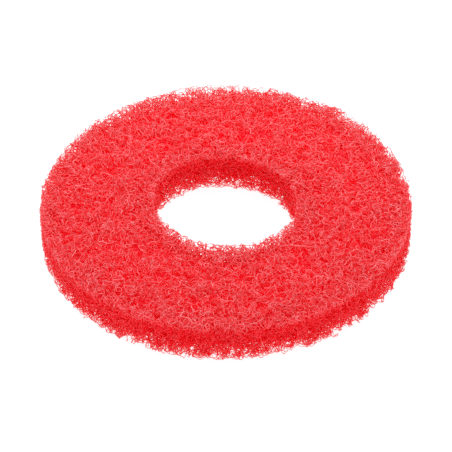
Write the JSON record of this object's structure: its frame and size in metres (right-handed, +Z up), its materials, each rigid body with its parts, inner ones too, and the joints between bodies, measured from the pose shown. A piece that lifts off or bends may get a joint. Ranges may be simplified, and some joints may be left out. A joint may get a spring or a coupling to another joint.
{
  "type": "floor machine pad",
  "caption": "Flat round pad of open, springy abrasive fibre web with a large centre hole, driven by a rotary floor machine to clean and buff hard floors.",
  "frame": {"origin": "middle of the lower flat face, on the axis of the centre hole, where the pad lies on the floor", "axes": "+Z up along the axis of the centre hole, square to both flat faces; the pad is round, so +X and +Y are any two directions across it"},
  "size_m": [0.229, 0.229, 0.0265],
  "materials": {
    "fibre_web": "matte, open tangle of crimped red fibres with small glints of resin, fuzzy at the cut edges"
  },
  "bodies": {
    "root": {"fibre_web": "fibre_web"}
  },
  "joints": []
}
